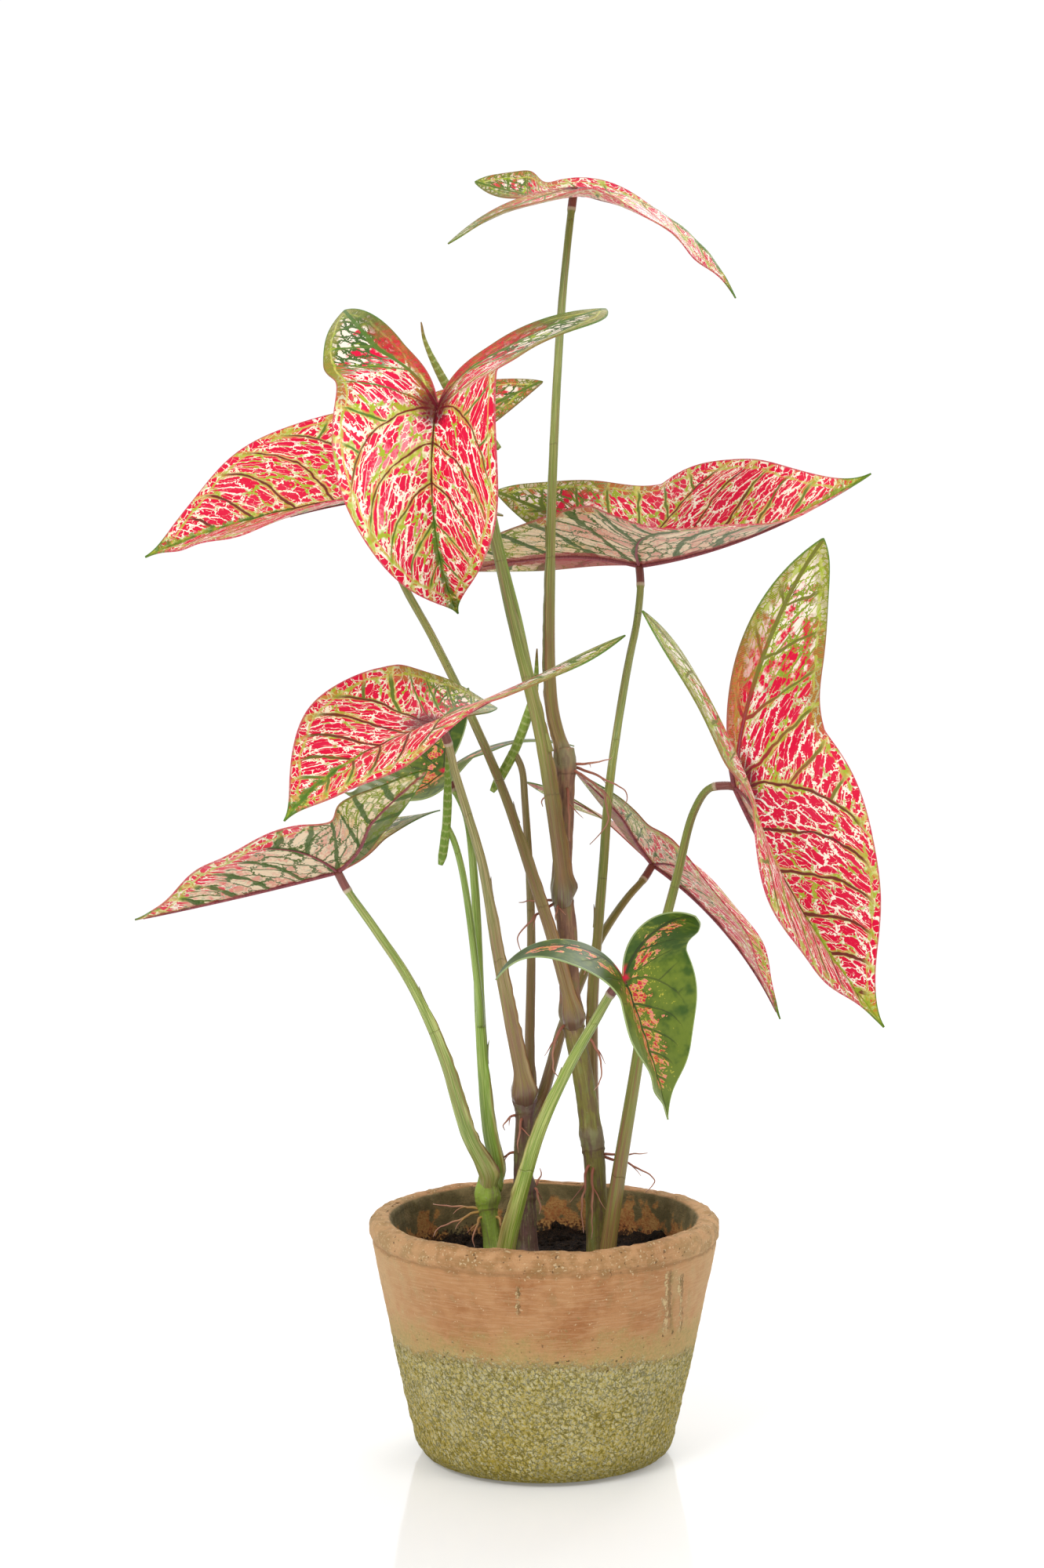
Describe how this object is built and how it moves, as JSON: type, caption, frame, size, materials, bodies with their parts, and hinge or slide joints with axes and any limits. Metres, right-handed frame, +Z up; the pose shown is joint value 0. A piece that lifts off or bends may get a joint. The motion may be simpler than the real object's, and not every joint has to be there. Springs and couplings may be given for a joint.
{
  "type": "potted caladium",
  "caption": "Tall caladium with crimson, cream and green arrow-shaped leaves on long stalks, growing in a weathered clay pot with a mossy lower half.",
  "frame": {"origin": "centre of the flat underside of the pot", "axes": "+Z up along the pot's axis, -Y towards the front, where the large face-on leaf looks"},
  "size_m": [0.3171, 0.2336, 0.547],
  "materials": {
    "clay": "weathered terracotta, lower half crusted with yellow-green moss and lime",
    "earth": "dark crumbly peat potting soil",
    "cane": "olive-brown ribbed stem skin with pale rings, satin",
    "stalk": "smooth green leaf stalk, satin, browner low down",
    "blade": "waxy leaf, crimson cells in a cream net with green veins",
    "green_blade": "waxy green leaf with pink, yellow-edged blotches",
    "young_leaf": "rolled young leaf, light green, satin"
  },
  "bodies": {
    "root": {"pot": "clay", "soil": "earth", "cane_right": "cane", "cane_middle": "cane", "cane_left": "cane", "stalk_a": "stalk", "stalk_b": "stalk", "stalk_rolled_1": "stalk", "stalk_c": "stalk", "stalk_d": "stalk", "stalk_e": "stalk", "stalk_f": "stalk", "stalk_g": "stalk", "stalk_h": "stalk", "stalk_i": "stalk", "stalk_j": "stalk", "stalk_rolled_2": "stalk", "stalk_rolled_3": "stalk", "leaf_a": "blade", "leaf_b": "blade", "leaf_c": "blade", "leaf_d": "blade", "leaf_e": "blade", "leaf_f": "blade", "leaf_g": "blade", "leaf_h": "green_blade", "leaf_i": "blade", "leaf_j": "green_blade", "leaf_rolled_1": "young_leaf", "leaf_rolled_2": "young_leaf", "leaf_rolled_3": "young_leaf"}
  },
  "joints": []
}
